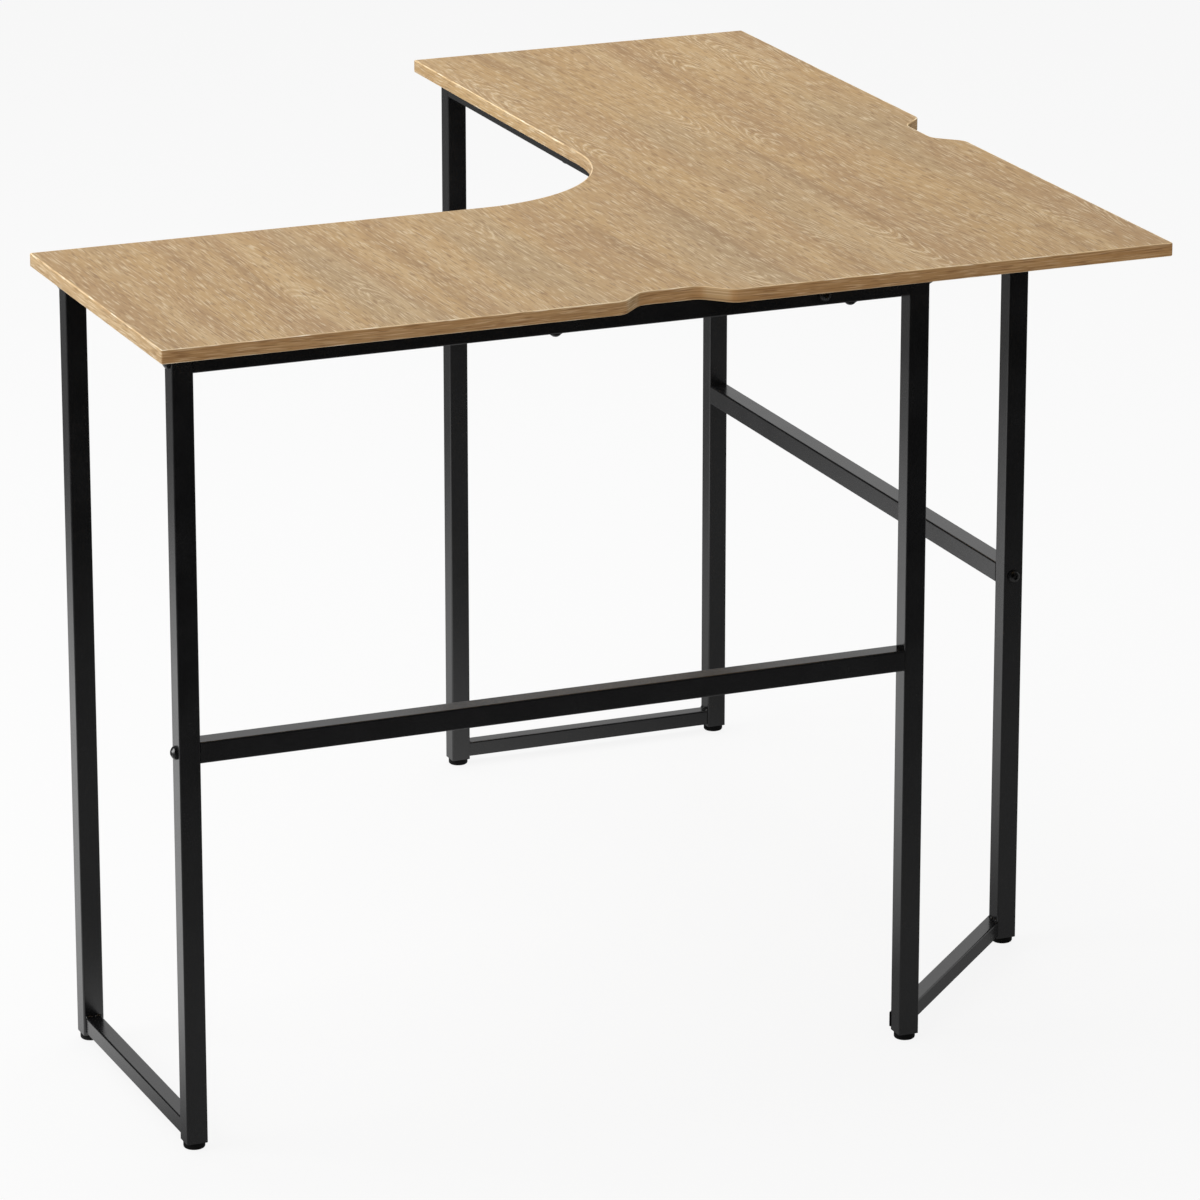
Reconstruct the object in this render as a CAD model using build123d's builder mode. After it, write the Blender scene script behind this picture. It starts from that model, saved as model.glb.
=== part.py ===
from build123d import *
import os
from math import cos, pi, radians, tan

# L-shaped corner desk: a one-piece board on three welded frames of square tube,
# tied together by end-bolted rails and stretchers, standing on six levelling feet.
# The origin is on the floor under the middle of the square footprint, +Z up.
# The board's outer corner is at +X -Y. "right" and "left" are those of the person
# who sits in the inner corner: the right wing runs along X, the left wing along Y.

# Board
span = 930.0  # length of each back edge
wing_depth = 350.0  # back edge to front edge of each wing
desk_height = 720.0  # floor to the top of the board
board_thickness = 12.0
band_thickness = 1.5
band_arris = 1.2  # rounding along the band's top and bottom edges
board_corner = 2.0  # rounding of the board's outer corners, seen from above
inner_radius = 160.0  # rounding of the inner corner
notch_middle = 467.0  # outer corner to the middle of each cable notch
notch_mouth = 101.0  # width of the notch at the board's edge
notch_depth = 23.5
notch_slope = 45.0  # angle of its ends, in degrees
notch_radius = 16.0  # rounding of its corners

# Square tubes
tube_size = 19.0
tube_wall = 1.0
tube_corner = 1.6
slim_tube_size = 15.0  # cross rails of the end frames, lower corner rail

# Places of the tubes
back_overhang = 30.0  # board's back edge to the legs
end_overhang = 19.0  # board's end to the end frame
front_overhang = 21.0  # board's front edge to the front legs
corner_reach = 229.0  # outer corner to the middle of each corner leg
stretcher_height = 358.0  # floor to the middle of the stretchers
bottom_rail_lift = 2.0  # ends of the legs to the bottom rails

# Fasteners
bolt_radius = 3.0
bolt_clearance = 0.3
bolt_head_radius = 5.25
bolt_head_height = 3.3
bolt_socket_width = 4.0
bolt_socket_depth = 2.0
bolt_engagement = 11.0  # length of thread in the nut
washer_radius = 6.0
washer_thickness = 1.5
thread_clearance = 0.1  # bolts and stems in their threads
nut_length = 12.0
nut_clearance = 0.1  # nut or block to the tube's inner walls, on each side
block_length = 20.0
screw_radius = 2.0
screw_clearance = 0.25
screw_head_radius = 4.6
screw_head_height = 3.3
screw_cover = 3.0  # board left above the screw's tip
screw_from_leg = 62.0  # middle of a leg to the nearest screw

# Levelling feet
pad_radius = 9.5
pad_height = 6.0
pad_edge = 2.0
stem_radius = 3.0
stem_length = 24.0
stem_head_width = 10.0
stem_head_height = 3.5
insert_length = 28.0
insert_clearance = 0.1  # insert to the tube's inner walls, on each side

# Worked out from the sizes above
half = span / 2
half_tube = tube_size / 2
tube_inside = tube_size - 2 * tube_wall
tube_inner_corner = tube_corner - tube_wall
leg_bottom = pad_height
leg_top = desk_height - board_thickness
rail_height = leg_top - half_tube
end_rail_height = leg_top - slim_tube_size / 2
bottom_rail_height = leg_bottom + bottom_rail_lift + slim_tube_size / 2
back_line = back_overhang + half_tube
front_line = wing_depth - front_overhang - half_tube
end_line = span - end_overhang - half_tube
mid_line = (corner_reach + end_line) / 2
front_mid_line = (front_line + end_line) / 2
bolt_length = washer_thickness + tube_size + bolt_engagement
sides = ("right", "left")
diagonal = Plane(origin=(0, 0, 0), x_dir=(1, -1, 0), z_dir=(1, 1, 0))
from_base = (Align.CENTER, Align.CENTER, Align.MIN)

os.makedirs("parts", exist_ok=True)


def save(piece, name):
    """Label a finished piece and write it out."""
    piece.part.label = name
    export_step(piece.part, f"parts/{name}.step")


def at(side, along, inward, height):
    """A point from its distance along a wing's back edge, measured from the outer
    corner, and its distance in from that edge."""
    if side == "right":
        return Vector(half - along, inward - half, height)
    return Vector(half - inward, along - half, height)


def bolt_seat(side, along, inward, height, heading):
    """The plane on a tube's face where a bolt goes in, facing the way that its shank goes:
    heading 1 is along the wing, away from the outer corner."""
    away = Vector(-1, 0, 0) if side == "right" else Vector(0, 1, 0)
    return Plane(origin=at(side, along, inward, height), z_dir=away * heading)


# Each back rail and stretcher is bolted at one end, through the right wing's end leg and
# the left wing's corner leg. Its other end slides over a block on the leg there.
# The front legs, the right back rail and the left front rail take one bolt each.
end_face = end_line + half_tube
corner_face = corner_reach - half_tube
bolted_legs = {"right": ("end_back", end_face, -1), "left": ("corner", corner_face, 1)}
block_faces = {"right": (corner_reach + half_tube, 1), "left": (end_line - half_tube, -1)}
leg_bolts = {}
block_seats = []
for side in sides:
    place, face, heading = bolted_legs[side]
    block_face, block_heading = block_faces[side]
    leg_bolts[side, place] = []
    for height in (stretcher_height, rail_height):
        leg_bolts[side, place].append(bolt_seat(side, face, back_line, height, heading))
        block_seats.append(bolt_seat(side, block_face, back_line, height, block_heading))
    leg_bolts[side, "end_front"] = [bolt_seat(side, end_face, front_line, rail_height, -1)]
back_rail_bolt = bolt_seat("left", back_line - half_tube, front_line, rail_height, 1)
front_rail_bolt = bolt_seat("right", front_line - half_tube, front_line, rail_height, 1)
bolt_seats = [seat for seats in leg_bolts.values() for seat in seats]
bolt_seats += [back_rail_bolt, front_rail_bolt]

# Screws that hold the board, by the rail that they pass through.
screw_height = leg_top - tube_size
corner_faces = [at(side, corner_reach, back_line + half_tube, 0) for side in sides]
corner_rail_middle = (corner_faces[0] + corner_faces[1]) * 0.5
screws = {("both", "corner"): [corner_rail_middle + Vector(0, 0, screw_height)]}
for side in sides:
    back_spots = (corner_reach + screw_from_leg, mid_line)
    end_spot = at(side, end_line, (back_line + front_line) / 2, leg_top - slim_tube_size)
    screws[side, "back"] = [at(side, spot, back_line, screw_height) for spot in back_spots]
    screws[side, "front"] = [at(side, front_mid_line, front_line, screw_height)]
    screws[side, "end"] = [end_spot]
screw_points = [point for points in screws.values() for point in points]


# Board outline: half of it, from the outer corner round the right wing to the inner
# corner, mirrored in the diagonal and then rounded at its corners.
notch_ramp = notch_depth / tan(radians(notch_slope))
notch_alongs = (
    notch_middle - notch_mouth / 2,
    notch_middle - notch_mouth / 2 + notch_ramp,
    notch_middle + notch_mouth / 2 - notch_ramp,
    notch_middle + notch_mouth / 2,
)
notch_depths = (0, notch_depth, notch_depth, 0)
notch_points = {side: [at(side, *spot, 0) for spot in zip(notch_alongs, notch_depths)] for side in sides}
outer_points = [at("right", 0, 0, 0)]
outer_points += [at(side, span, inward, 0) for side in sides for inward in (0, wing_depth)]
inner_point = at("right", wing_depth, wing_depth, 0)
with BuildSketch() as outline:
    with BuildLine():
        Polyline(
            at("right", 0, 0, 0),
            *notch_points["right"],
            at("right", span, 0, 0),
            at("right", span, wing_depth, 0),
            inner_point,
        )
        mirror(about=diagonal)
    make_face()
    roundings = [(outer_points, board_corner), ([inner_point], inner_radius)]
    roundings += [(points, notch_radius) for points in notch_points.values()]
    for points, radius in roundings:
        fillet([outline.vertices().sort_by_distance(point)[0] for point in points], radius)

with BuildSketch() as core_outline:
    add(outline.sketch)
    offset(amount=-band_thickness, mode=Mode.REPLACE)

# Particle-board panel with a laminate face, drilled from below for the screws.
pilot_depth = board_thickness - screw_cover
with BuildPart() as desktop_panel:
    with BuildSketch(Plane.XY.offset(leg_top)):
        add(core_outline.sketch)
    extrude(amount=board_thickness)
    with Locations(*[(point.X, point.Y, leg_top) for point in screw_points]):
        Cylinder(screw_radius + screw_clearance, pilot_depth, align=from_base, mode=Mode.SUBTRACT)
save(desktop_panel, "desktop_panel")

# Edge band: a strip round the whole panel, with its arris lightly rounded.
with BuildPart() as edge_band:
    with BuildSketch(Plane.XY.offset(leg_top)):
        add(outline.sketch)
        add(core_outline.sketch, mode=Mode.SUBTRACT)
    extrude(amount=board_thickness)
    band_faces = edge_band.faces().filter_by(Axis.Z).sort_by(Axis.Z)
    rims = band_faces[0].outer_wire().edges() + band_faces[-1].outer_wire().edges()
    fillet(rims, band_arris)
save(edge_band, "edge_band")


def square_tube(start, finish, size, bolts=(), screw_spots=()):
    """A straight tube with open ends, drilled across for bolts and upwards for screws."""
    run = finish - start
    across = (1, 0, 0) if abs(run.Z) > 0 else (0, 0, 1)
    inside = size - 2 * tube_wall
    with BuildPart() as tube:
        with BuildSketch(Plane(origin=start, x_dir=across, z_dir=run)):
            RectangleRounded(size, size, tube_corner)
            RectangleRounded(inside, inside, tube_inner_corner, mode=Mode.SUBTRACT)
        extrude(amount=run.length)
        for bolt in bolts:
            with Locations(bolt):
                Cylinder(bolt_radius + bolt_clearance, size, align=from_base, mode=Mode.SUBTRACT)
        for spot in screw_spots:
            with Locations(spot):
                Cylinder(screw_radius + screw_clearance, size, align=from_base, mode=Mode.SUBTRACT)
    return tube


# Legs: three of each wing, the corner legs set back from the outer corner.
leg_places = {
    "end_front": (end_line, front_line),
    "end_back": (end_line, back_line),
    "corner": (corner_reach, back_line),
}
leg_feet = {}
for side in sides:
    for place, (along, inward) in leg_places.items():
        foot = at(side, along, inward, leg_bottom)
        leg_feet[side, place] = foot
        leg = square_tube(foot, at(side, along, inward, leg_top), tube_size, leg_bolts.get((side, place), ()))
        save(leg, f"{side}_{place}_leg")

# End frames: a slim rail under the board and one near the floor, welded between the legs.
for side in sides:
    near = back_line + half_tube
    far = front_line - half_tube
    end_rails = {"top": (end_rail_height, screws[side, "end"]), "bottom": (bottom_rail_height, ())}
    for name, (height, screw_spots) in end_rails.items():
        end_rail = square_tube(
            at(side, end_line, near, height),
            at(side, end_line, far, height),
            slim_tube_size,
            screw_spots=screw_spots,
        )
        save(end_rail, f"{side}_end_{name}_rail")

# Back rails and stretchers: bolted between the end frames and the corner frame.
for side in sides:
    near = corner_reach + half_tube
    far = end_line - half_tube
    back_rail = square_tube(
        at(side, near, back_line, rail_height),
        at(side, far, back_line, rail_height),
        tube_size,
        [back_rail_bolt] if side == "right" else (),
        screws[side, "back"],
    )
    save(back_rail, f"{side}_back_rail")
    stretcher = square_tube(
        at(side, near, back_line, stretcher_height),
        at(side, far, back_line, stretcher_height),
        tube_size,
    )
    save(stretcher, f"{side}_stretcher")

# Front rails: the left one runs through to the right back rail, and the right one ends on it.
front_starts = {"left": back_line + half_tube, "right": front_line + half_tube}
for side in sides:
    front_rail = square_tube(
        at(side, front_starts[side], front_line, rail_height),
        at(side, end_line - half_tube, front_line, rail_height),
        tube_size,
        [front_rail_bolt] if side == "left" else (),
        screws[side, "front"],
    )
    save(front_rail, f"{side}_front_rail")


def corner_rail(size, height, screw_spots=()):
    """A diagonal tube between the middles of the corner legs' inner faces, with both ends
    cut at 45 degrees to sit flat on them."""
    inside = size - 2 * tube_wall
    reach = corner_faces[1] - corner_faces[0]
    before = corner_faces[0] - reach + Vector(0, 0, height)
    face_line = back_line + half_tube
    with BuildPart() as rail:
        with BuildSketch(Plane(origin=before, x_dir=(0, 0, 1), z_dir=reach)):
            RectangleRounded(size, size, tube_corner)
            RectangleRounded(inside, inside, tube_inner_corner, mode=Mode.SUBTRACT)
        extrude(amount=reach.length * 3)
        split(bisect_by=Plane(origin=(0, face_line - half, 0), z_dir=(0, 1, 0)), keep=Keep.TOP)
        split(bisect_by=Plane(origin=(half - face_line, 0, 0), z_dir=(-1, 0, 0)), keep=Keep.TOP)
        for spot in screw_spots:
            with Locations(spot):
                Cylinder(screw_radius + screw_clearance, size, align=from_base, mode=Mode.SUBTRACT)
    return rail


save(corner_rail(tube_size, rail_height, screws["both", "corner"]), "corner_top_rail")
save(corner_rail(slim_tube_size, bottom_rail_height), "corner_bottom_rail")

# Button-head bolt: a domed head with a hexagon socket on a plain shank.
dome_rise = bolt_head_height * 0.75
with BuildPart() as bolt:
    with BuildSketch(Plane.XZ):
        with BuildLine():
            Polyline((0, -bolt_head_height), (0, bolt_length), (bolt_radius, bolt_length), (bolt_radius, 0))
            Line((bolt_radius, 0), (bolt_head_radius, 0))
            rim = Line((bolt_head_radius, 0), (bolt_head_radius, dome_rise - bolt_head_height))
            TangentArc((0, -bolt_head_height), rim @ 1, tangent=(1, 0))
        make_face()
    revolve(axis=Axis.Z)
    with BuildSketch(Plane.XY.offset(-bolt_head_height)):
        RegularPolygon(bolt_socket_width / 2 / cos(pi / 6), 6)
    extrude(amount=bolt_socket_depth, mode=Mode.SUBTRACT)

with BuildPart() as frame_bolts:
    with Locations(*[seat.offset(-washer_thickness) for seat in bolt_seats]):
        add(bolt.part)
save(frame_bolts, "frame_bolts")

# Plain washer between each bolt's or screw's head and the tube.
def washers(places, hole_radius):
    """A washer at each place, with its back on the tube."""
    with BuildPart() as washer:
        with BuildSketch():
            Circle(washer_radius)
            Circle(hole_radius, mode=Mode.SUBTRACT)
        extrude(amount=-washer_thickness)
    with BuildPart() as pieces:
        with Locations(*places):
            add(washer.part)
    return pieces


save(washers(bolt_seats, bolt_radius + bolt_clearance), "bolt_washers")
save(washers(screw_points, screw_radius + screw_clearance), "screw_washers")

# Threaded block pressed into the end of each bolted rail and stretcher.
nut_size = tube_inside - 2 * nut_clearance
with BuildPart() as end_nut:
    with BuildSketch(Plane.XY.offset(tube_size)):
        RectangleRounded(nut_size, nut_size, tube_inner_corner)
        Circle(bolt_radius + thread_clearance, mode=Mode.SUBTRACT)
    extrude(amount=nut_length)

with BuildPart() as rail_end_nuts:
    with Locations(*bolt_seats):
        add(end_nut.part)
save(rail_end_nuts, "rail_end_nuts")

# Block welded to a leg, over which the other end of a back rail or stretcher slides.
with BuildPart() as rail_block:
    with BuildSketch():
        RectangleRounded(nut_size, nut_size, tube_inner_corner)
    extrude(amount=block_length)

with BuildPart() as rail_blocks:
    with Locations(*block_seats):
        add(rail_block.part)
save(rail_blocks, "rail_blocks")

# Pan-head screws that hold the board down on the rails.
def panel_screw(rail_size):
    """A screw long enough for the rail that it passes through."""
    tip = washer_thickness + rail_size + pilot_depth
    with BuildPart() as screw:
        with BuildSketch(Plane.XZ):
            with BuildLine():
                Polyline(
                    (0, -screw_head_height),
                    (0, tip),
                    (screw_radius, tip - screw_radius),
                    (screw_radius, 0),
                    (screw_head_radius, 0),
                )
                rim = Line((screw_head_radius, 0), (screw_head_radius, -screw_head_height / 3))
                TangentArc((0, -screw_head_height), rim @ 1, tangent=(1, 0))
            make_face()
        revolve(axis=Axis.Z)
    return screw.part


with BuildPart() as panel_screws:
    for point in screw_points:
        with Locations(point - Vector(0, 0, washer_thickness)):
            add(panel_screw(leg_top - point.Z))
save(panel_screws, "panel_screws")

# Plastic insert pressed into the lower end of each leg, bored for the foot's stem.
insert_size = tube_inside - 2 * insert_clearance
with BuildPart() as insert:
    with BuildSketch():
        RectangleRounded(insert_size, insert_size, tube_inner_corner)
        Circle(stem_radius + thread_clearance, mode=Mode.SUBTRACT)
    extrude(amount=insert_length)

with BuildPart() as leg_inserts:
    with Locations(*leg_feet.values()):
        add(insert.part)
save(leg_inserts, "leg_inserts")

# Levelling feet: a round pad moulded over the hexagon head of a threaded stem.
stem_head_corner = stem_head_width / 2 / cos(pi / 6)
for (side, place), foot in leg_feet.items():
    with BuildPart() as pad:
        with Locations((foot.X, foot.Y, 0)):
            Cylinder(pad_radius, pad_height, align=from_base)
        fillet(pad.edges().group_by(Axis.Z)[0], pad_edge)
        with BuildSketch(Plane(origin=foot)):
            RegularPolygon(stem_head_corner, 6)
        extrude(amount=-stem_head_height, mode=Mode.SUBTRACT)
    save(pad, f"{side}_{place}_foot_pad")
    with BuildPart() as stem:
        with BuildSketch(Plane(origin=foot)):
            RegularPolygon(stem_head_corner, 6)
        extrude(amount=-stem_head_height)
        with BuildSketch(Plane(origin=foot)):
            Circle(stem_radius)
        extrude(amount=stem_length)
    save(stem, f"{side}_{place}_foot_stem")
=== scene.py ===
import math

import bpy
from mathutils import Matrix, Vector


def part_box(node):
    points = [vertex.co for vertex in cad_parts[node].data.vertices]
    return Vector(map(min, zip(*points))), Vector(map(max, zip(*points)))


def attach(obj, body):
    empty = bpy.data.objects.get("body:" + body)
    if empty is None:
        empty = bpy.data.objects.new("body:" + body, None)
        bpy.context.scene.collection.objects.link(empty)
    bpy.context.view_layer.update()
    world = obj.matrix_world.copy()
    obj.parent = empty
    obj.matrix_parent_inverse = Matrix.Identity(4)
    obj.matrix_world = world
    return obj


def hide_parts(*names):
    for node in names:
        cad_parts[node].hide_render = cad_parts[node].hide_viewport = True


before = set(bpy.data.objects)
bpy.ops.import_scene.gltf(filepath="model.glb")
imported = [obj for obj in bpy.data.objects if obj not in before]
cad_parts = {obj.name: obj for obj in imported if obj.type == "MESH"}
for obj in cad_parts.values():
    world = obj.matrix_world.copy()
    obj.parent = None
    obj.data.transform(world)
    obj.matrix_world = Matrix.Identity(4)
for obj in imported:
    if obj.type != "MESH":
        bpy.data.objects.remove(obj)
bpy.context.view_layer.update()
bpy.context.scene.view_settings.view_transform = "Standard"
sides = ("right", "left")
leg_places = ("end_front", "end_back", "corner")


# Legs, rails and stretchers: square steel tube, cut, welded and drilled, then powder
# coated satin black. The coat lies a little uneven, with a fine orange-peel skin.
coat_dark = (0.0055, 0.0055, 0.0060)
coat_pale = (0.0110, 0.0110, 0.0117)
coat_peel_pitch = 0.0011
coat_cloud_pitch = 0.060
coat_peel_depth = 0.00003
coat_roughness = (0.18, 0.28)
coat_gloss = 1.0


def add_node(tree, kind, inputs=(), **settings):
    """A node with its settings, and each input given a value or a link."""
    node = tree.nodes.new(kind)
    for name, value in settings.items():
        setattr(node, name, value)
    for key, value in dict(inputs).items():
        if isinstance(value, bpy.types.NodeSocket):
            tree.links.new(value, node.inputs[key])
        else:
            node.inputs[key].default_value = value
    return node


def calc(tree, operation, *values):
    """The result of a Math node."""
    return add_node(tree, "ShaderNodeMath", enumerate(values), operation=operation).outputs[0]


def rise(tree, value, low, high, to_low=0.0, to_high=1.0):
    """A smooth rise from to_low to to_high as the value goes from low to high."""
    inputs = {"Value": value, "From Min": low, "From Max": high, "To Min": to_low, "To Max": to_high}
    return add_node(tree, "ShaderNodeMapRange", inputs, interpolation_type="SMOOTHSTEP").outputs[0]


def noise(tree, vector, scale, detail=2.0, roughness=0.5):
    """A noise value over a vector."""
    inputs = {"Vector": vector, "Scale": scale, "Detail": detail, "Roughness": roughness}
    return add_node(tree, "ShaderNodeTexNoise", inputs).outputs[0]


def tint(tree, amount, first, second):
    """A mix of two colours, each a link or three numbers."""
    node = add_node(tree, "ShaderNodeMix", {0: amount}, data_type="RGBA")
    for socket, colour in ((node.inputs[6], first), (node.inputs[7], second)):
        if isinstance(colour, bpy.types.NodeSocket):
            tree.links.new(colour, socket)
        else:
            socket.default_value = (*colour, 1.0)
    return node.outputs[2]


def new_group(name, inputs, outputs):
    """An empty shader node group with its sockets, and the nodes at its two ends."""
    group = bpy.data.node_groups.new(name, "ShaderNodeTree")
    for socket, kind in inputs.items():
        group.interface.new_socket(name=socket, in_out="INPUT", socket_type=kind)
    for socket, kind in outputs.items():
        group.interface.new_socket(name=socket, in_out="OUTPUT", socket_type=kind)
    return group, group.nodes.new("NodeGroupInput"), group.nodes.new("NodeGroupOutput")


def new_finish(name, group, inputs, bump_depth, **shader_values):
    """A material whose colour, roughness and bump come from a group."""
    material = bpy.data.materials.new(name)
    material.use_nodes = True
    tree = material.node_tree
    shader = tree.nodes["Principled BSDF"]
    for socket, value in shader_values.items():
        shader.inputs[socket.replace("_", " ")].default_value = value
    surface = add_node(tree, "ShaderNodeGroup", node_tree=group)
    for socket, value in inputs(tree).items():
        if isinstance(value, bpy.types.NodeSocket):
            tree.links.new(value, surface.inputs[socket])
        else:
            surface.inputs[socket].default_value = value
    height = surface.outputs["Height"]
    bump = add_node(tree, "ShaderNodeBump", {"Height": height, "Distance": bump_depth})
    tree.links.new(surface.outputs["Color"], shader.inputs["Base Color"])
    tree.links.new(surface.outputs["Roughness"], shader.inputs["Roughness"])
    tree.links.new(bump.outputs[0], shader.inputs["Normal"])
    return material


def object_place(tree):
    """The place on the piece, in metres."""
    return add_node(tree, "ShaderNodeTexCoord").outputs["Object"]


surface_outputs = {
    "Color": "NodeSocketColor",
    "Roughness": "NodeSocketFloat",
    "Height": "NodeSocketFloat",
}
skin_inputs = {
    "Place": "NodeSocketVector",
    "Dark": "NodeSocketColor",
    "Pale": "NodeSocketColor",
    "Smooth": "NodeSocketFloat",
    "Rough": "NodeSocketFloat",
    "Grain": "NodeSocketFloat",
    "Cloud": "NodeSocketFloat",
}
fine_skin, skin_in, skin_out = new_group("fine_skin", skin_inputs, surface_outputs)
grain = noise(fine_skin, skin_in.outputs["Place"], skin_in.outputs["Grain"], 3.0, 0.6)
cloud = noise(fine_skin, skin_in.outputs["Place"], skin_in.outputs["Cloud"], 4.0, 0.6)
blotch = rise(fine_skin, cloud, 0.32, 0.68)
fleck = rise(fine_skin, grain, 0.35, 0.7)
shade = calc(fine_skin, "MULTIPLY_ADD", blotch, 0.6, calc(fine_skin, "MULTIPLY", fleck, 0.4))
skin_color = tint(fine_skin, shade, skin_in.outputs["Dark"], skin_in.outputs["Pale"])
skin_rough = add_node(
    fine_skin,
    "ShaderNodeMapRange",
    {"Value": shade, "To Min": skin_in.outputs["Smooth"], "To Max": skin_in.outputs["Rough"]},
).outputs[0]
fine_skin.links.new(skin_color, skin_out.inputs["Color"])
fine_skin.links.new(skin_rough, skin_out.inputs["Roughness"])
fine_skin.links.new(grain, skin_out.inputs["Height"])


def skin_values(dark, pale, roughness, grain_pitch, cloud_pitch):
    """The inputs of the fine skin for one finish, from colours and lengths."""

    def inputs(tree):
        return {
            "Place": object_place(tree),
            "Dark": (*dark, 1.0),
            "Pale": (*pale, 1.0),
            "Smooth": roughness[0],
            "Rough": roughness[1],
            "Grain": 1 / grain_pitch,
            "Cloud": 1 / cloud_pitch,
        }

    return inputs


powder_coat = new_finish(
    "black_powder_coat",
    fine_skin,
    skin_values(coat_dark, coat_pale, coat_roughness, coat_peel_pitch, coat_cloud_pitch),
    coat_peel_depth,
    Specular_IOR_Level=coat_gloss,
)


def dress(node, material):
    """Give a CAD node its finish."""
    for material_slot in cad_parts[node].material_slots:
        material_slot.material = material


tube_nodes = [f"{side}_{place}_leg" for side in sides for place in leg_places]
for rail in ("end_top_rail", "end_bottom_rail", "back_rail", "front_rail", "stretcher"):
    tube_nodes += [f"{side}_{rail}" for side in sides]
tube_nodes += ["corner_top_rail", "corner_bottom_rail", "rail_blocks"]
for node in tube_nodes:
    dress(node, powder_coat)


# Weld tacks: where the rails of the two end frames and the corner frame meet the legs.
# Each is a short run of drops at a corner of the rail, left as welded and coated over.
tack_radius = 0.0016
tack_run = 0.0040
tack_step = 0.0013
tack_skin = 0.0004
end_tack_shares = (0.22, 0.78)
corner_tack_offset = 0.0045


def weld_tack(middle, heading):
    """One tack: a short row of overlapping drops along a heading."""
    steps = max(1, round(tack_run / tack_step))
    bpy.ops.object.select_all(action="DESELECT")
    start = middle - heading * tack_run / 2
    bpy.ops.mesh.primitive_uv_sphere_add(segments=14, ring_count=8, radius=tack_radius, location=start)
    tack = bpy.context.object
    bpy.ops.object.transform_apply(location=True, rotation=True, scale=True)
    array = tack.modifiers.new("drops", "ARRAY")
    array.use_relative_offset = False
    array.use_constant_offset = True
    array.constant_offset_displace = heading * tack_run / steps
    array.count = steps + 1
    bpy.ops.object.modifier_apply(modifier=array.name)
    return tack


def finish_welds(tacks, name):
    """Fuse the drops into one skin and fix them to the frame."""
    bpy.ops.object.select_all(action="DESELECT")
    for tack in tacks:
        tack.select_set(True)
    bpy.context.view_layer.objects.active = tacks[0]
    bpy.ops.object.join()
    welds = bpy.context.object
    welds.name = name
    skin = welds.modifiers.new("skin", "REMESH")
    skin.mode = "VOXEL"
    skin.voxel_size = tack_skin
    bpy.ops.object.modifier_apply(modifier=skin.name)
    bpy.ops.object.shade_smooth()
    welds.data.materials.clear()
    welds.data.materials.append(powder_coat)
    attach(welds, "frame")


for side, along in (("right", 1), ("left", 0)):
    across = Vector((along, 1 - along, 0))
    tacks = []
    for rail in ("end_top_rail", "end_bottom_rail"):
        low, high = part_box(f"{side}_{rail}")
        height = low.z if rail == "end_top_rail" else high.z
        for place in (low[along], high[along]):
            for share in end_tack_shares:
                spot = low.lerp(high, share)
                spot[along] = place
                spot.z = height
                tacks.append(weld_tack(spot, across))
    finish_welds(tacks, f"{side}_end_welds")

corner_tacks = []
for side, along in (("right", 0), ("left", 1)):
    leg_low, leg_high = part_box(f"{side}_corner_leg")
    inner_face = leg_high.y if side == "right" else leg_low.x
    for height in (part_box("corner_top_rail")[0].z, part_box("corner_bottom_rail")[1].z):
        for offset in (-corner_tack_offset, corner_tack_offset):
            spot = (leg_low + leg_high) / 2
            spot[along] += offset
            spot[1 - along] = inner_face
            spot.z = height
            corner_tacks.append(weld_tack(spot, Vector((1 - along, along, 0))))
finish_welds(corner_tacks, "corner_welds")


# Levelling feet: a round pad moulded over the head of a threaded steel stem, which
# screws into a plastic insert pressed into the end of the leg.
plastic_dark = (0.004, 0.004, 0.004)
plastic_pale = (0.009, 0.009, 0.009)
plastic_roughness = (0.42, 0.58)
plastic_grain_pitch = 0.0008
plastic_cloud_pitch = 0.02
plastic_skin_depth = 0.00005
plastic_gloss = 0.12
plastic = new_finish(
    "moulded_black_plastic",
    fine_skin,
    skin_values(plastic_dark, plastic_pale, plastic_roughness, plastic_grain_pitch, plastic_cloud_pitch),
    plastic_skin_depth,
    Specular_IOR_Level=plastic_gloss,
)
zinc_dark = (0.42, 0.42, 0.43)
zinc_pale = (0.62, 0.62, 0.61)
zinc_roughness = (0.28, 0.44)
zinc_grain_pitch = 0.0012
zinc_cloud_pitch = 0.008
steel_skin_depth = 0.00002
zinc_plate = new_finish(
    "zinc_plate",
    fine_skin,
    skin_values(zinc_dark, zinc_pale, zinc_roughness, zinc_grain_pitch, zinc_cloud_pitch),
    steel_skin_depth,
    Metallic=1.0,
)
dress("leg_inserts", plastic)
dress("rail_end_nuts", zinc_plate)
pad_sides = 72
pad_foot_edge = 0.0020
pad_top_edge = 0.0005
pad_shade_angle = math.radians(35)
stem_radius = 0.0030
stem_pitch = 0.0010
stem_sides = 28
stem_thread_depth = 0.00055
stem_shade_angle = math.radians(30)
thread_foot = (0.14, 0.9)
thread_crest = (0.46, 0.58)
merge_gap = 1e-6


def select_edges(piece, wanted):
    """Go into edit mode with only the wanted edges selected."""
    bpy.ops.object.mode_set(mode="EDIT")
    bpy.ops.mesh.select_mode(type="EDGE")
    bpy.ops.mesh.select_all(action="DESELECT")
    bpy.ops.object.mode_set(mode="OBJECT")
    for edge in piece.data.edges:
        ends = [piece.data.vertices[index].co for index in edge.vertices]
        edge.select = wanted(*ends)
    bpy.ops.object.mode_set(mode="EDIT")


def level_edge(height):
    """A test for edges that lie at one height."""
    return lambda start, finish: max(abs(start.z - height), abs(finish.z - height)) < merge_gap


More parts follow.
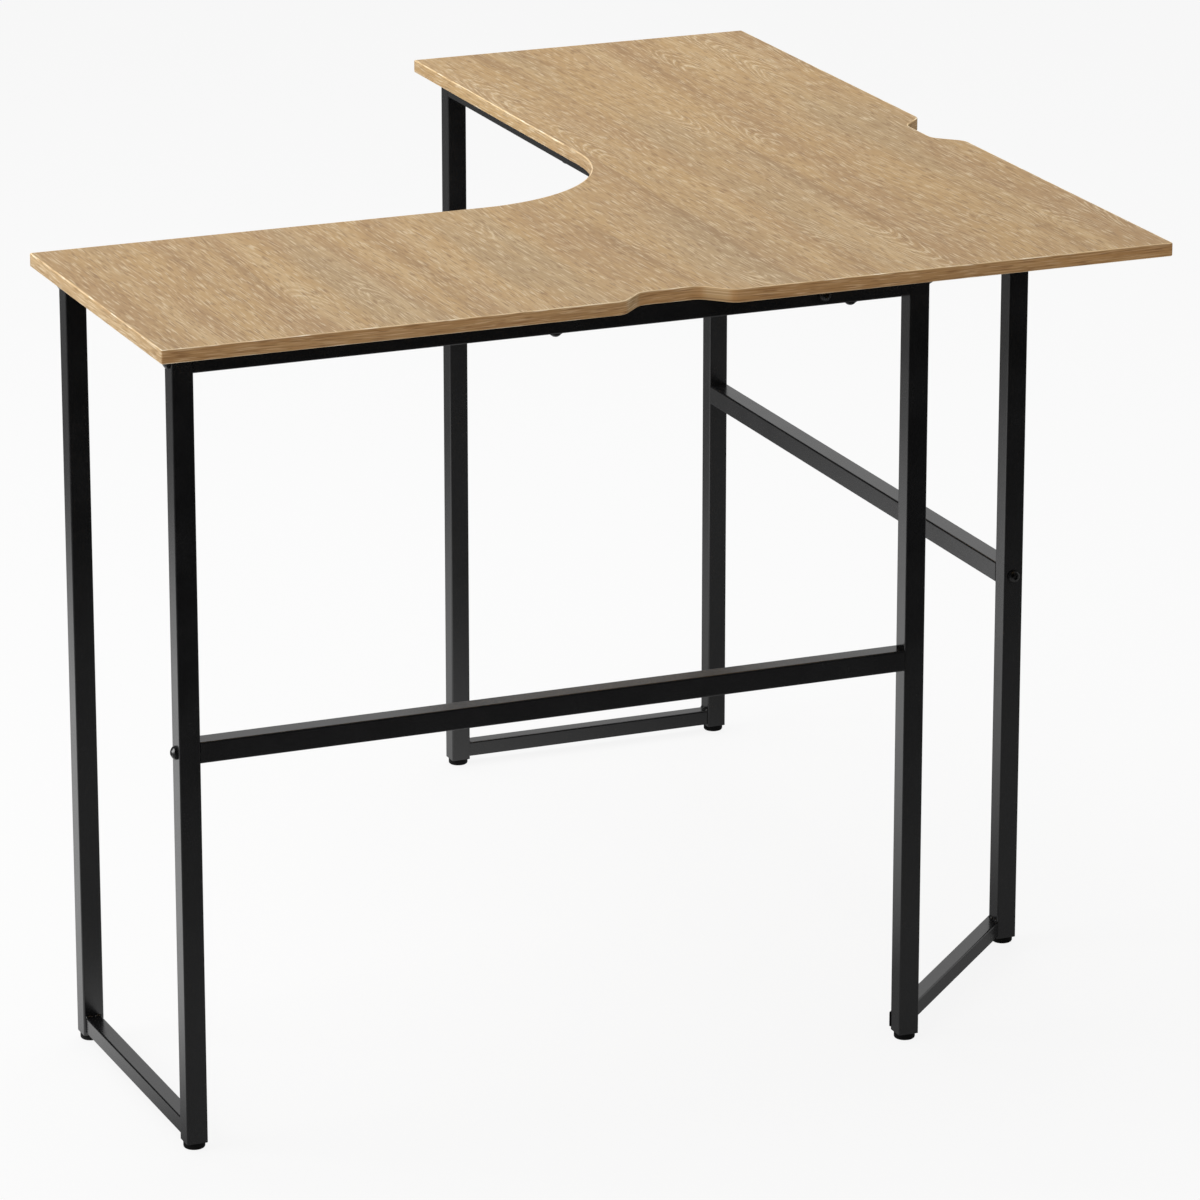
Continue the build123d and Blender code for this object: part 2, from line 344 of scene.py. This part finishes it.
def foot_pad(centre, radius, height):
    """A moulded pad on the floor, its lower edge well rounded."""
    bpy.ops.object.select_all(action="DESELECT")
    middle = Vector((centre.x, centre.y, height / 2))
    bpy.ops.mesh.primitive_cylinder_add(vertices=pad_sides, radius=radius, depth=height, location=middle)
    pad = bpy.context.object
    bpy.ops.object.transform_apply(location=True, rotation=True, scale=True)
    select_edges(pad, level_edge(0.0))
    bpy.ops.mesh.bevel(offset=pad_foot_edge, segments=6)
    bpy.ops.object.mode_set(mode="OBJECT")
    select_edges(pad, level_edge(height))
    bpy.ops.mesh.bevel(offset=pad_top_edge, segments=3)
    bpy.ops.object.mode_set(mode="OBJECT")
    bpy.ops.object.shade_smooth_by_angle(angle=pad_shade_angle)
    return pad


def foot_stem(centre, radius, low, high):
    """A threaded stem: one thread profile, screwed round and cut off square at both ends."""
    bpy.ops.object.select_all(action="DESELECT")
    root = radius - stem_thread_depth
    turns = math.ceil((high - low) / stem_pitch) + 2
    profile = [(root, 0.0), (root, thread_foot[0]), (radius, thread_crest[0])]
    profile += [(radius, thread_crest[1]), (root, thread_foot[1]), (root, 1.0)]
    bpy.ops.mesh.primitive_plane_add(size=radius)
    stem = bpy.context.object
    bpy.ops.object.mode_set(mode="EDIT")
    bpy.ops.mesh.select_mode(type="VERT")
    bpy.ops.mesh.select_all(action="SELECT")
    bpy.ops.mesh.merge(type="CENTER")
    bpy.ops.transform.translate(value=(profile[0][0], 0, 0))
    for (was_out, was_up), (out, up) in zip(profile, profile[1:]):
        step = (out - was_out, 0, (up - was_up) * stem_pitch)
        bpy.ops.mesh.extrude_vertices_move(TRANSFORM_OT_translate={"value": step})
    bpy.ops.object.mode_set(mode="OBJECT")
    screw = stem.modifiers.new("thread", "SCREW")
    screw.axis = "Z"
    screw.screw_offset = stem_pitch
    screw.iterations = turns
    screw.steps = stem_sides
    screw.render_steps = stem_sides
    screw.use_merge_vertices = True
    screw.merge_threshold = merge_gap
    bpy.ops.object.modifier_apply(modifier=screw.name)
    bpy.ops.object.mode_set(mode="EDIT")
    bpy.ops.mesh.select_all(action="SELECT")
    bpy.ops.mesh.remove_doubles(threshold=merge_gap)
    for cut, facing in ((stem_pitch, -1), (stem_pitch + high - low, 1)):
        bpy.ops.mesh.select_all(action="SELECT")
        bpy.ops.mesh.bisect(
            plane_co=(0, 0, cut),
            plane_no=(0, 0, facing),
            use_fill=True,
            clear_outer=True,
            threshold=merge_gap,
        )
    bpy.ops.mesh.select_all(action="SELECT")
    bpy.ops.mesh.normals_make_consistent(inside=False)
    bpy.ops.object.mode_set(mode="OBJECT")
    stem.location = (centre.x, centre.y, low - stem_pitch)
    bpy.ops.object.transform_apply(location=True, rotation=True, scale=True)
    bpy.ops.object.shade_smooth_by_angle(angle=stem_shade_angle)
    return stem


def copy_piece(piece, name, shift):
    """A copy with its own mesh, moved to its own place."""
    copy = piece.copy()
    copy.data = piece.data.copy()
    copy.name = name
    copy.data.transform(Matrix.Translation(shift))
    bpy.context.scene.collection.objects.link(copy)
    return copy


first_pad = None
for side in sides:
    for place in leg_places:
        foot = f"{side}_{place}_foot"
        pad_low, pad_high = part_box(f"{foot}_pad")
        stem_low, stem_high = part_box(f"{foot}_stem")
        centre = (pad_low + pad_high) / 2
        if first_pad is None:
            first_centre = centre
            first_pad = foot_pad(centre, (pad_high.x - pad_low.x) / 2, pad_high.z)
            first_pad.data.materials.append(plastic)
            first_stem = foot_stem(centre, stem_radius, stem_low.z, stem_high.z)
            first_stem.data.materials.append(zinc_plate)
            first_pad.name = f"{foot}_moulded_pad"
            first_stem.name = f"{foot}_threaded_stem"
            pad, stem = first_pad, first_stem
        else:
            shift = Vector((centre.x - first_centre.x, centre.y - first_centre.y, 0))
            pad = copy_piece(first_pad, f"{foot}_moulded_pad", shift)
            stem = copy_piece(first_stem, f"{foot}_threaded_stem", shift)
        for piece, node, finish in ((pad, "pad", "black_plastic"), (stem, "stem", "zinc_steel")):
            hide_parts(f"{foot}_{node}")
            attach(piece, foot)


# Fasteners: button-head bolts with plain washers, through the legs and rails into the nuts
# in the rails' ends, and the screws that hold the board. Steel, rolled and blackened.
fastener_grain_pitch = 0.0009
fastener_cloud_pitch = 0.006
bolt_dark = (0.08, 0.08, 0.08)
bolt_pale = (0.16, 0.16, 0.16)
bolt_roughness = (0.20, 0.34)
bolt_steel = new_finish(
    "black_steel_bolt",
    fine_skin,
    skin_values(bolt_dark, bolt_pale, bolt_roughness, fastener_grain_pitch, fastener_cloud_pitch),
    steel_skin_depth,
    Metallic=1.0,
)
washer_dark = (0.006, 0.006, 0.006)
washer_pale = (0.014, 0.014, 0.015)
washer_roughness = (0.30, 0.44)
black_oxide = new_finish(
    "black_oxide",
    fine_skin,
    skin_values(washer_dark, washer_pale, washer_roughness, fastener_grain_pitch, fastener_cloud_pitch),
    steel_skin_depth,
)
fastener_finishes = {
    "frame_bolts": bolt_steel,
    "panel_screws": bolt_steel,
    "bolt_washers": black_oxide,
    "screw_washers": black_oxide,
}
for node, finish in fastener_finishes.items():
    dress(node, finish)


# Desktop: a particle-board panel with a printed oak laminate on top. The print runs along
# the left wing over the whole board, with fine limed pores, soft streaks and long arches.
def paint(red, green, blue):
    """A colour from its eight-bit values."""

    def linear(value):
        share = value / 255
        return share / 12.92 if share <= 0.04045 else ((share + 0.055) / 1.055) ** 2.4

    return tuple(linear(value) for value in (red, green, blue))


oak_gold = paint(194, 158, 107)
oak_rose = paint(182, 146, 101)
oak_grey = paint(180, 152, 112)
oak_light = paint(209, 178, 131)
oak_limed = paint(226, 204, 167)
oak_brown = paint(153, 118, 77)
stave_width = 0.055
stave_lean = 0.3
arch_pitch = 0.024
arch_lines = 8.0
arch_wobble = 2.2
sway_reach = 0.036
laminate_gloss = 0.3
laminate_depth = 0.00006
board_streaks = 0.50

# Each layer's scale across and along the grain, per metre, and a lift that sets it apart.
print_layers = {
    "sway": (5.0, 1.6, 0.0),
    "tone": (17.0, 2.2, 3.0),
    "cast": (11.0, 1.7, 41.0),
    "streak": (46.0, 1.5, 7.0),
    "fibre": (560.0, 17.0, 11.0),
    "pore": (720.0, 38.0, 17.0),
    "tick": (660.0, 40.0, 53.0),
    "zone": (24.0, 4.0, 61.0),
    "wobble": (45.0, 11.0, 23.0),
    "patch": (11.0, 4.0, 31.0),
}
print_inputs = {
    "Across": "NodeSocketFloat",
    "Along": "NodeSocketFloat",
    "Figure": "NodeSocketFloat",
    "Streaks": "NodeSocketFloat",
    "Cast": "NodeSocketColor",
}
oak_print, print_in, print_out = new_group("oak_print", print_inputs, surface_outputs)
across_in = print_in.outputs["Across"]
along_in = print_in.outputs["Along"]


def oak_calc(operation, *values):
    """The result of a Math node in the print."""
    return calc(oak_print, operation, *values)


def layer(name, across, detail=1.0, roughness=0.5):
    """One layer of the print: noise drawn out along the grain."""
    across_scale, along_scale, lift = print_layers[name]
    wide = oak_calc("MULTIPLY", across, across_scale)
    long = oak_calc("MULTIPLY", along_in, along_scale)
    place = add_node(oak_print, "ShaderNodeCombineXYZ", {"X": wide, "Y": long, "Z": lift}).outputs[0]
    return noise(oak_print, place, 1.0, detail, roughness)


def stain(under, value, low, high, amount, colour):
    """A colour laid over the print as a layer's value goes from low to high."""
    return tint(oak_print, rise(oak_print, value, low, high, 0.0, amount), under, colour)


sway = layer("sway", across_in, 2.0)
shifted = oak_calc("MULTIPLY_ADD", oak_calc("SUBTRACT", sway, 0.5), sway_reach, across_in)
tone = layer("tone", shifted, 3.0, 0.6)
cast = layer("cast", shifted, 2.0)
streak = layer("streak", shifted, 3.0)
fibre = layer("fibre", shifted, 2.0, 0.6)
pore = layer("pore", shifted)
tick = layer("tick", shifted)
zone = layer("zone", shifted, 2.0)
open_grain = rise(oak_print, zone, 0.40, 0.62, 0.55, 1.0)

stave = oak_calc("DIVIDE", shifted, stave_width)
stave_place = oak_calc("SUBTRACT", oak_calc("FRACT", stave), 0.5)
stave_number = oak_calc("FLOOR", stave)
pick = add_node(oak_print, "ShaderNodeTexWhiteNoise", {"W": stave_number}, noise_dimensions="1D")
lean = oak_calc("SUBTRACT", pick.outputs["Value"], 0.5)
off_centre = oak_calc("MULTIPLY_ADD", lean, stave_lean, stave_place)
bow = oak_calc("MULTIPLY", oak_calc("MULTIPLY", off_centre, off_centre), 4 * arch_lines)
heading = oak_calc("MULTIPLY_ADD", oak_calc("GREATER_THAN", lean, 0.0), 2.0, -1.0)
climb = oak_calc("MULTIPLY", oak_calc("MULTIPLY", along_in, heading), 1 / arch_pitch)
wobble = oak_calc("MULTIPLY", layer("wobble", shifted, 3.0), arch_wobble)
phase = oak_calc("ADD", oak_calc("ADD", bow, climb), wobble)
ring = oak_calc("SINE", oak_calc("MULTIPLY", phase, 2 * math.pi))
edge_fade = rise(oak_print, oak_calc("ABSOLUTE", stave_place), 0.50, 0.30)
patch = layer("patch", across_in)
figure = oak_calc("MULTIPLY", edge_fade, rise(oak_print, patch, 0.54, 0.68))
figure = oak_calc("MULTIPLY", figure, print_in.outputs["Figure"])
broken = rise(oak_print, fibre, 0.40, 0.58, 0.1, 1.0)
limed_ring = oak_calc("MULTIPLY", rise(oak_print, ring, 0.45, 0.95), broken)
limed_line = oak_calc("MULTIPLY", limed_ring, figure)
brown_line = oak_calc("MULTIPLY", rise(oak_print, ring, -0.45, -0.98), figure)

oak = stain(oak_rose, tone, 0.36, 0.62, 1.0, oak_gold)
oak = stain(oak, cast, 0.48, 0.66, 0.75, oak_grey)
oak = stain(oak, streak, 0.52, 0.70, 0.58, oak_light)
oak = stain(oak, streak, 0.46, 0.28, print_in.outputs["Streaks"], oak_brown)
oak = stain(oak, fibre, 0.52, 0.70, oak_calc("MULTIPLY", open_grain, 0.52), oak_limed)
oak = stain(oak, fibre, 0.46, 0.30, oak_calc("MULTIPLY", open_grain, 0.56), oak_brown)
oak = stain(oak, tick, 0.55, 0.67, 0.75, oak_brown)
oak = stain(oak, pore, 0.56, 0.68, 0.70, oak_limed)
oak = tint(oak_print, oak_calc("MULTIPLY", limed_line, 0.85), oak, oak_limed)
oak = tint(oak_print, oak_calc("MULTIPLY", brown_line, 0.32), oak, oak_brown)
# The Cast colour multiplies the print. It is plain white on the top; on the edge band it carries painted
# light and shade by facing and a painted highlight on the arris.
warm = add_node(oak_print, "ShaderNodeMix", {0: 1.0, 6: oak}, data_type="RGBA", blend_type="MULTIPLY")
oak_print.links.new(print_in.outputs["Cast"], warm.inputs[7])
oak_print.links.new(warm.outputs[2], print_out.inputs["Color"])
oak_print.links.new(rise(oak_print, fibre, 0.3, 0.7, 0.46, 0.60), print_out.inputs["Roughness"])
oak_print.links.new(oak_calc("MULTIPLY_ADD", pore, 0.4, fibre), print_out.inputs["Height"])


def board_grain(tree):
    """The print over the top: across in X, along in Y."""
    place = add_node(tree, "ShaderNodeSeparateXYZ", {0: object_place(tree)})
    return {
        "Across": place.outputs["X"],
        "Along": place.outputs["Y"],
        "Figure": 1.0,
        "Streaks": board_streaks,
        "Cast": (1.0, 1.0, 1.0, 1.0),
    }


oak_laminate = new_finish(
    "oak_laminate", oak_print, board_grain, laminate_depth, Specular_IOR_Level=laminate_gloss
)
dress("desktop_panel", oak_laminate)


# Edge band: a thin strip with the same oak print, glued round the board's edge and trimmed. Its tint is
# painted light and shade by facing, paler on the end faces and darker on the long faces, and its rounded
# arris is painted paler, a painted highlight over the paler trimmed edge.
# The long and end tints are shaded and lit copies of one band colour: painted shade and painted light by
# facing.
long_band_shaded_tint = (1.12, 0.95, 0.81)
end_band_lit_tint = (1.15, 1.20, 1.31)
# The arris tint is a painted highlight, laid over the paler trimmed edge.
arris_highlight_tint = (1.7, 1.95, 2.4)
band_stretch = 1.5
band_streaks = 0.5
band_depth = 0.00005


def band_grain(tree):
    """The print along the edge, with painted light and shade by facing, and a painted highlight where
    the arris turns up or down.
    """
    place = add_node(tree, "ShaderNodeSeparateXYZ", {0: object_place(tree)})
    normal = add_node(tree, "ShaderNodeNewGeometry").outputs["Normal"]
    facing = add_node(tree, "ShaderNodeSeparateXYZ", {0: normal})
    tilt = calc(tree, "ABSOLUTE", facing.outputs["Z"])
    turn = calc(tree, "ABSOLUTE", facing.outputs["X"])
    band_facing_light = tint(tree, rise(tree, turn, 0.4, 0.9), long_band_shaded_tint, end_band_lit_tint)
    return {
        "Across": calc(tree, "MULTIPLY", place.outputs["Z"], band_stretch),
        "Along": calc(tree, "ADD", place.outputs["X"], place.outputs["Y"]),
        "Figure": 0.0,
        "Streaks": band_streaks,
        # Where the face tilts up or down, the arris gets a painted highlight over the paler trimmed
        # edge.
        "Cast": tint(tree, rise(tree, tilt, 0.3, 0.75), band_facing_light, arris_highlight_tint),
    }


oak_band = new_finish(
    "oak_edge_band", oak_print, band_grain, band_depth, Specular_IOR_Level=laminate_gloss
)
dress("edge_band", oak_band)


# Studio: a pale floor, a large soft light over the back of the desk and one to its left, and the camera
# at the photograph's angle. Floor and world are white to the camera. For reflections only, the floor
# carries a painted pool of light to the left of the desk and the world a painted wall that is dark
# there, so that the tubes show a painted reflection.
floor_reach = 30.0
floor_grey = (0.85, 0.85, 0.85, 1.0)
floor_roughness = 0.9
shadow_share = 0.12
# The pool, front and strip values shape a painted pool of light on the floor that only reflections see.
painted_pool_spot = (-0.68, 0.42, 0.0)
pool_reach = (1.5, 0.2)
pool_level = (0.03, 1.0)
front_reach = (-0.6, -0.05)
front_level = (0.1, 1.0)
strip_reach = (-1.9, -0.6)
strip_level = (0.015, 0.18)
# The wall values shape a painted reflection: a world that reflections see as darker to the front and to
# the left.
wall_turn = (-0.5, 0.5)
wall_level = (0.03, 0.58)
wall_side = (-0.15, 0.28)
wall_side_level = (0.02, 1.0)
ambient = 0.38
white = (1.0, 1.0, 1.0, 1.0)
bpy.ops.object.select_all(action="DESELECT")
bpy.ops.mesh.primitive_plane_add(size=2 * floor_reach)
floor = bpy.context.object
floor.name = "studio_floor"
floor_paint = bpy.data.materials.new("studio_floor")
floor_paint.use_nodes = True
floor_tree = floor_paint.node_tree
floor_shader = floor_tree.nodes["Principled BSDF"]
floor_shader.inputs["Base Color"].default_value = floor_grey
floor_shader.inputs["Roughness"].default_value = floor_roughness
floor_shader.inputs["Specular IOR Level"].default_value = 0.0
rays = add_node(floor_tree, "ShaderNodeLightPath")
seen = rays.outputs["Is Camera Ray"]
mirrored = rays.outputs["Is Glossy Ray"]
floor_place = object_place(floor_tree)
# Painted reflection: glossy rays see the floor glow in a pool to the left of the desk, dimmer in front
# of it, which paints light and shade into the tubes' reflections.
ends = {0: floor_place, 1: painted_pool_spot}
from_spot = add_node(floor_tree, "ShaderNodeVectorMath", ends, operation="DISTANCE")
from_front = add_node(floor_tree, "ShaderNodeSeparateXYZ", {0: floor_place}).outputs["Y"]
painted_pool = rise(floor_tree, from_spot.outputs["Value"], *pool_reach, *pool_level)
painted_pool = calc(floor_tree, "MULTIPLY", painted_pool, rise(floor_tree, from_front, *front_reach, *front_level))
painted_pool = calc(floor_tree, "MAXIMUM", painted_pool, rise(floor_tree, from_front, *strip_reach, *strip_level))
glow_level = calc(floor_tree, "MAXIMUM", seen, calc(floor_tree, "MULTIPLY", mirrored, painted_pool))
glow = add_node(floor_tree, "ShaderNodeEmission", {"Color": white, "Strength": glow_level})
glow_share = calc(floor_tree, "MAXIMUM", calc(floor_tree, "MULTIPLY", seen, 1 - shadow_share), mirrored)
floor_shaders = {0: glow_share, 1: floor_shader.outputs[0], 2: glow.outputs[0]}
floor_mix = add_node(floor_tree, "ShaderNodeMixShader", floor_shaders)
floor_tree.links.new(floor_mix.outputs[0], floor_tree.nodes["Material Output"].inputs["Surface"])
floor.data.materials.append(floor_paint)

world = bpy.data.worlds.new("studio")
bpy.context.scene.world = world
world.use_nodes = True
world_tree = world.node_tree
direction = add_node(world_tree, "ShaderNodeTexCoord").outputs["Generated"]
sky = add_node(world_tree, "ShaderNodeSeparateXYZ", {0: direction})
world_rays = add_node(world_tree, "ShaderNodeLightPath")
# Painted reflection: glossy rays see a world that is darker to the front and to the left, which paints
# shade into the tubes' reflections; other rays see an even ambient level.
painted_back_wall = rise(world_tree, sky.outputs["Y"], *wall_turn, *wall_level)
glossy_ray = world_rays.outputs["Is Glossy Ray"]
painted_left_shade = rise(world_tree, sky.outputs["X"], *wall_side, *wall_side_level)
painted_wall_shade = calc(world_tree, "MULTIPLY", painted_back_wall, painted_left_shade)
painted_reflection = calc(world_tree, "MULTIPLY", glossy_ray, painted_wall_shade)
direct = calc(world_tree, "MULTIPLY", calc(world_tree, "SUBTRACT", 1.0, glossy_ray), ambient)
level = calc(world_tree, "ADD", painted_reflection, direct)
level = calc(world_tree, "MAXIMUM", level, world_rays.outputs["Is Camera Ray"])
world_tree.links.new(level, world_tree.nodes["Background"].inputs["Strength"])
world_tree.nodes["Background"].inputs["Color"].default_value = white


def soft_light(name, place, target, size, power):
    """A large square light at a place, facing a target."""
    lamp = bpy.data.lights.new(name, "AREA")
    lamp.size = size
    lamp.energy = power
    light = bpy.data.objects.new(name, lamp)
    light.location = place
    light.rotation_euler = (Vector(target) - Vector(place)).to_track_quat("-Z", "Y").to_euler()
    bpy.context.scene.collection.objects.link(light)


lamps = {
    "top_light": ((0.0, 0.9, 3.2), (0.0, 0.0, 0.4), 2.6, 48.3),
    "left_light": ((-3.2, 0.4, 1.5), (0.0, 0.0, 0.5), 2.2, 58.0),
}
for name, (place, target, size, power) in lamps.items():
    soft_light(name, place, target, size, power)

camera_azimuth = math.radians(22.65)
camera_elevation = math.radians(17.4)
camera_distance = 6.025
camera_target = Vector((0.0958, -0.0536, 0.3197))
sight = Vector((
    math.sin(camera_azimuth) * math.cos(camera_elevation),
    math.cos(camera_azimuth) * math.cos(camera_elevation),
    -math.sin(camera_elevation),
))
camera_data = bpy.data.cameras.new("camera")
camera_data.sensor_width = 36.0
camera_data.lens = 195.7
camera_data.clip_end = 200.0
camera = bpy.data.objects.new("camera", camera_data)
camera.location = camera_target - sight * camera_distance
camera.rotation_euler = sight.to_track_quat("-Z", "Y").to_euler()
bpy.context.scene.collection.objects.link(camera)
bpy.context.scene.camera = camera
